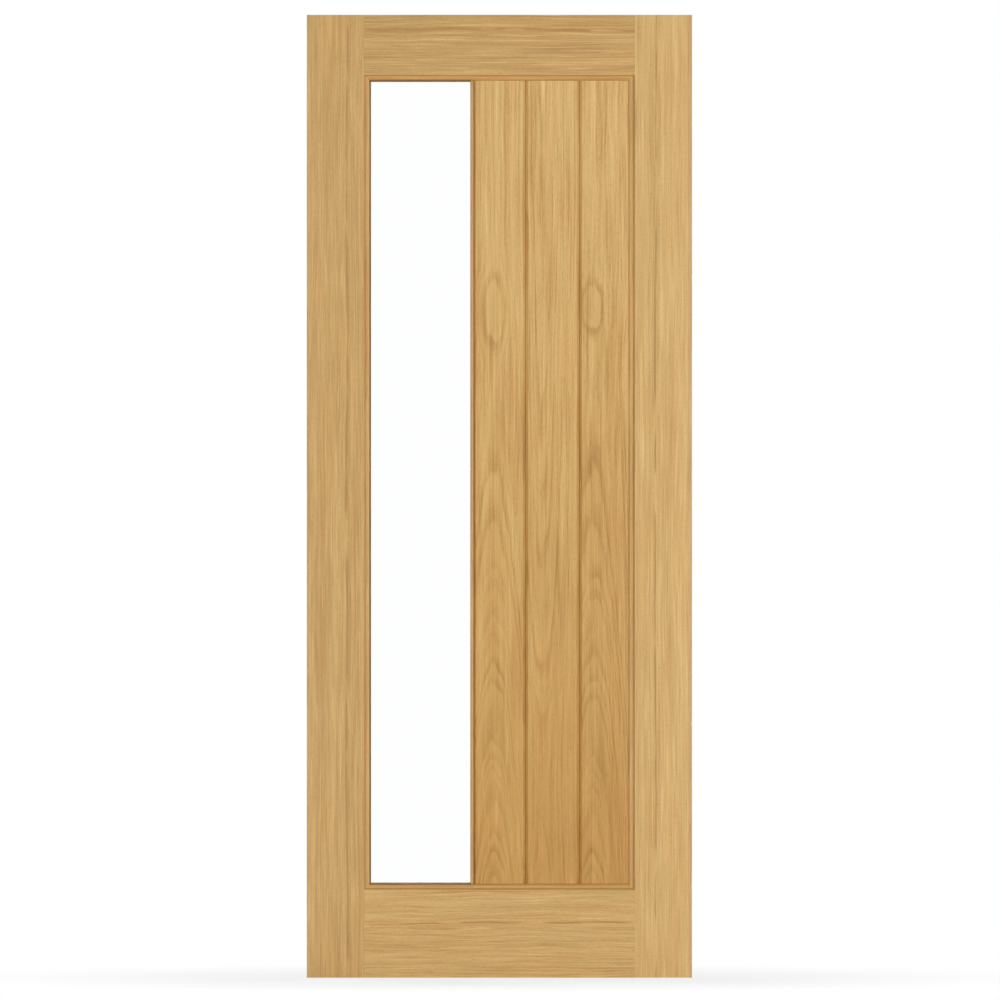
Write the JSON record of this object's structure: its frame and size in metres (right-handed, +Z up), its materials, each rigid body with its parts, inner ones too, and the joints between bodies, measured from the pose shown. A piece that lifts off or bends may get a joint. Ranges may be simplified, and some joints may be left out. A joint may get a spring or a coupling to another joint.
{
  "type": "glazed door leaf",
  "caption": "Oak interior door leaf: stiles and rails round a tall clear glass light and a panel of V-jointed boards, held by mitred beads on both faces.",
  "frame": {"origin": "on the hinge edge's flat face, at the foot of the leaf, midway between the two faces", "axes": "+X across the leaf from the hinge edge to the lock edge, +Y from the front face to the back face, +Z up the leaf"},
  "size_m": [0.813, 0.035, 2.032],
  "materials": {
    "oak_frame": "satin",
    "oak_lipping": "satin",
    "oak_boards": "satin",
    "oak_beads": "satin",
    "clear_glass": "polished",
    "glazing_tape": "matte"
  },
  "bodies": {
    "root": {"hinge_stile": "oak_frame", "lock_stile": "oak_frame", "top_rail": "oak_frame", "bottom_rail": "oak_frame", "hinge_edge_lipping": "oak_lipping", "lock_edge_lipping": "oak_lipping", "board_left": "oak_boards", "board_middle": "oak_boards", "board_right": "oak_boards", "glazing_bar": "oak_beads", "front_left_glazing_bead": "oak_beads", "front_top_glazing_bead": "oak_beads", "front_bottom_glazing_bead": "oak_beads", "front_top_panel_bead": "oak_beads", "front_right_panel_bead": "oak_beads", "front_bottom_panel_bead": "oak_beads", "back_left_glazing_bead": "oak_beads", "back_top_glazing_bead": "oak_beads", "back_bottom_glazing_bead": "oak_beads", "back_top_panel_bead": "oak_beads", "back_right_panel_bead": "oak_beads", "back_bottom_panel_bead": "oak_beads", "glass_pane": "clear_glass", "front_glazing_tape": "glazing_tape", "back_glazing_tape": "glazing_tape"}
  },
  "joints": []
}
